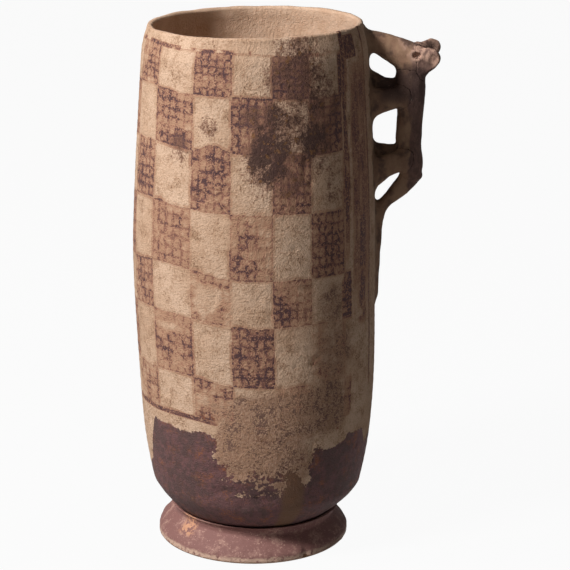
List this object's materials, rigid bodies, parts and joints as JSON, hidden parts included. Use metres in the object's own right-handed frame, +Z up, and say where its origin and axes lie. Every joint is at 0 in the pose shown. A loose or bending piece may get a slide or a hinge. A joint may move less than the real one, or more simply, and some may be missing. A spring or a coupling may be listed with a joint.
{
  "type": "painted pottery beaker",
  "caption": "Tall hand-built pottery beaker with a rounded base on a splayed disc foot and a climbing animal figure as its side handle, painted in a chequer of hatched squares.",
  "frame": {"origin": "centre of the foot's flat underside, on the vessel's axis", "axes": "+Z up along the vessel's axis, +X from the axis towards the animal handle, -Y faces a viewer who sees the handle on the right"},
  "size_m": [0.1676, 0.133, 0.2911],
  "materials": {
    "painted_body": "matt pale slip with brushed brown chequer and hatch, worn, sandy",
    "painted_foot": "matt worn red-brown paint over pale clay",
    "painted_handle": "matt pale clay with worn purple-brown paint"
  },
  "bodies": {
    "root": {"vessel_body": "painted_body", "foot": "painted_foot", "handle_head": "painted_handle", "handle_torso": "painted_handle", "left_ear": "painted_handle", "right_ear": "painted_handle", "left_foreleg": "painted_handle", "right_foreleg": "painted_handle", "left_hindleg": "painted_handle", "right_hindleg": "painted_handle", "tail": "painted_handle"}
  },
  "joints": []
}
